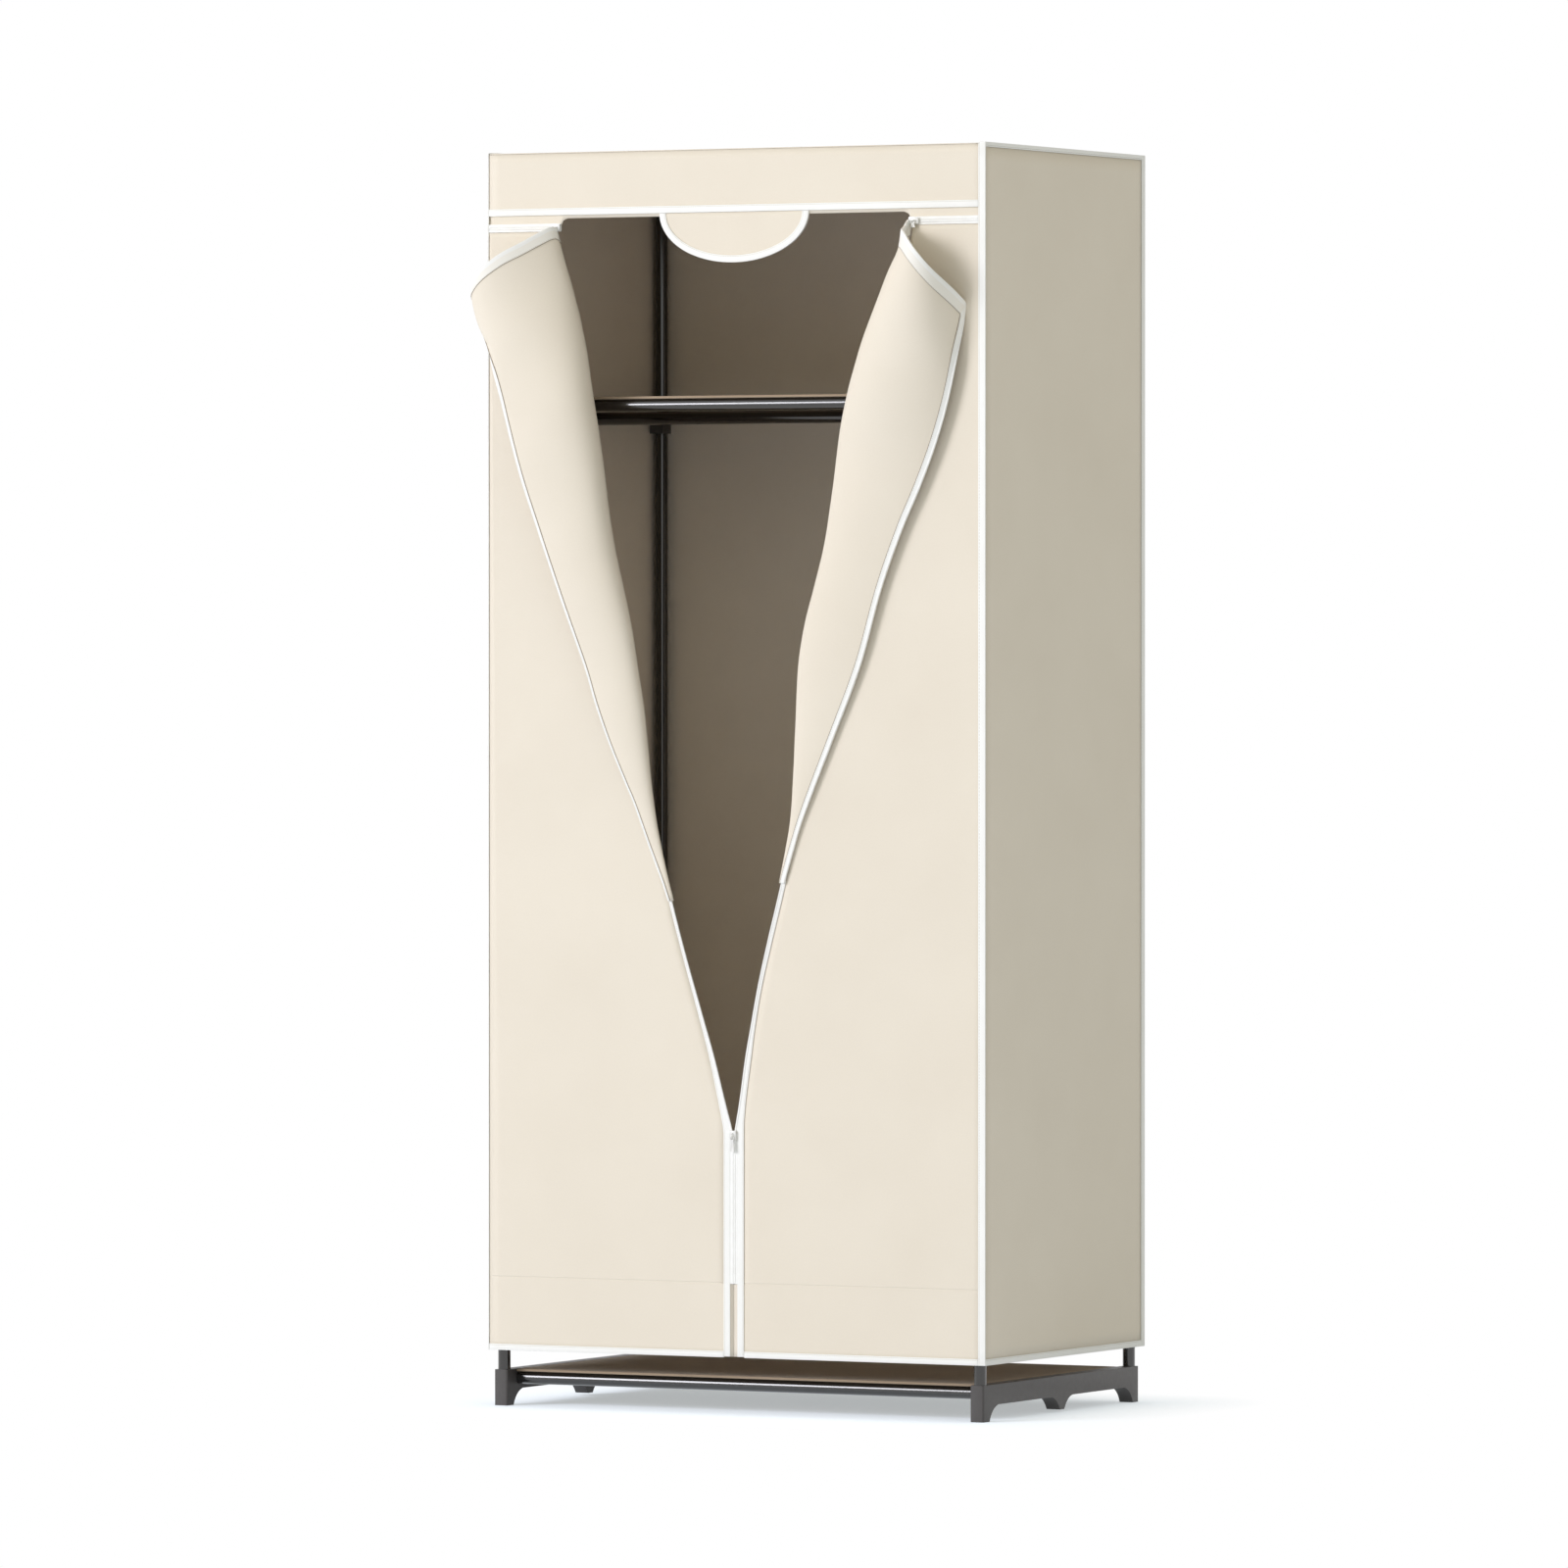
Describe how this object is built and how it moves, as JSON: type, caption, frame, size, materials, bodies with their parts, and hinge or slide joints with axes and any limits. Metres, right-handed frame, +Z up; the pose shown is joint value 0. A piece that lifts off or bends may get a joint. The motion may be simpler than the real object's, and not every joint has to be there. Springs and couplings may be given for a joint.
{
  "type": "portable fabric wardrobe",
  "caption": "Free-standing wardrobe: tube frame with shelf and hanging rod under a bound cloth cover whose zipped doors are turned back as lapels.",
  "frame": {"origin": "on the floor under the middle of the object's box, turned-back lapels included", "axes": "+X to the wardrobe's own right as its front is seen, +Y from front to back, +Z up"},
  "size_m": [0.711, 0.5181, 1.6],
  "materials": {
    "cover_cloth": "matt cream woven cloth",
    "binding_tape": "white folded binding tape",
    "shelf_cloth": "matt brown non-woven over board",
    "steel_tube": "glossy black paint",
    "plastic_bracket": "fine-grained dark grey moulding",
    "zip_chain": "white coil zip",
    "slider_metal": "white enamel"
  },
  "bodies": {
    "root": {"base_tube_front": "steel_tube", "base_tube_rear": "steel_tube", "shelf_tube_front": "steel_tube", "shelf_tube_rear": "steel_tube", "top_tube_front": "steel_tube", "top_tube_rear": "steel_tube", "hanging_rod": "steel_tube", "post_lower_front_left": "steel_tube", "post_lower_front_right": "steel_tube", "post_lower_rear_left": "steel_tube", "post_lower_rear_right": "steel_tube", "post_middle_front_left": "steel_tube", "post_middle_front_right": "steel_tube", "post_middle_rear_left": "steel_tube", "post_middle_rear_right": "steel_tube", "post_upper_front_left": "steel_tube", "post_upper_front_right": "steel_tube", "post_upper_rear_left": "steel_tube", "post_upper_rear_right": "steel_tube", "base_bracket_left": "plastic_bracket", "base_bracket_right": "plastic_bracket", "shelf_bracket_left": "plastic_bracket", "shelf_bracket_right": "plastic_bracket", "top_bracket_left": "plastic_bracket", "top_bracket_right": "plastic_bracket", "base_shelf_panel": "shelf_cloth", "upper_shelf_panel": "shelf_cloth", "cover_top": "cover_cloth", "cover_left": "cover_cloth", "cover_right": "cover_cloth", "cover_back": "cover_cloth", "header_band": "cover_cloth", "header_strip": "cover_cloth", "door_left": "cover_cloth", "door_right": "cover_cloth", "lapel_roll_left": "cover_cloth", "lapel_roll_right": "cover_cloth", "side_binding_left": "binding_tape", "side_binding_right": "binding_tape", "hem_binding_front_left": "binding_tape", "hem_binding_front_right": "binding_tape", "hem_binding_back": "binding_tape", "header_hem_binding": "binding_tape", "door_tape_left": "binding_tape", "door_tape_right": "binding_tape", "zip_chain_centre": "zip_chain", "header_zip_left": "zip_chain", "header_zip_right": "zip_chain"},
    "lapel_left": {"lapel_left": "cover_cloth", "lapel_tape_left": "binding_tape"},
    "lapel_right": {"lapel_right": "cover_cloth", "lapel_tape_right": "binding_tape"},
    "tongue": {"tongue_flap": "cover_cloth", "tongue_binding": "binding_tape"},
    "slider_centre": {"zip_slider_centre": "slider_metal"},
    "slider_left": {"zip_slider_left": "slider_metal"},
    "slider_right": {"zip_slider_right": "slider_metal"},
    "pull_centre": {"zip_pull_centre": "slider_metal"},
    "pull_left": {"zip_pull_left": "slider_metal"},
    "pull_right": {"zip_pull_right": "slider_metal"}
  },
  "joints": [
    {"name": "lapel_left_fold", "type": "hinge", "parent": "root", "child": "lapel_left", "pos_m": [-0.0977, -0.20025, 0.709], "axis": [-0.1976, -0.04, 0.9795], "range_deg": [0, 175], "deforming": ["lapel_roll_left"]},
    {"name": "lapel_right_fold", "type": "hinge", "parent": "root", "child": "lapel_right", "pos_m": [0.0516, -0.20025, 0.708], "axis": [-0.2249, 0.0261, -0.974], "range_deg": [0, 175], "deforming": ["lapel_roll_right"]},
    {"name": "tongue_lift", "type": "hinge", "parent": "root", "child": "tongue", "pos_m": [0, -0.19825, 1.5187], "axis": [-1, 0, 0], "range_deg": [0, 150]},
    {"name": "slider_centre_travel", "type": "slide", "parent": "root", "child": "slider_centre", "axis": [0, 0, -1], "range_m": [0, 0.175]},
    {"name": "slider_left_travel", "type": "slide", "parent": "root", "child": "slider_left", "axis": [-1, 0, 0], "range_m": [0, 0.078]},
    {"name": "slider_right_travel", "type": "slide", "parent": "root", "child": "slider_right", "axis": [1, 0, 0], "range_m": [0, 0.078]},
    {"name": "pull_centre_swing", "type": "hinge", "parent": "slider_centre", "child": "pull_centre", "pos_m": [0, -0.20225, 0.3515], "axis": [-1, 0, 0], "range_deg": [0, 160]},
    {"name": "pull_left_swing", "type": "hinge", "parent": "slider_left", "child": "pull_left", "pos_m": [-0.256, -0.20195, 1.5034], "axis": [-1, 0, 0], "range_deg": [0, 160]},
    {"name": "pull_right_swing", "type": "hinge", "parent": "slider_right", "child": "pull_right", "pos_m": [0.256, -0.20195, 1.5034], "axis": [-1, 0, 0], "range_deg": [0, 160]}
  ]
}
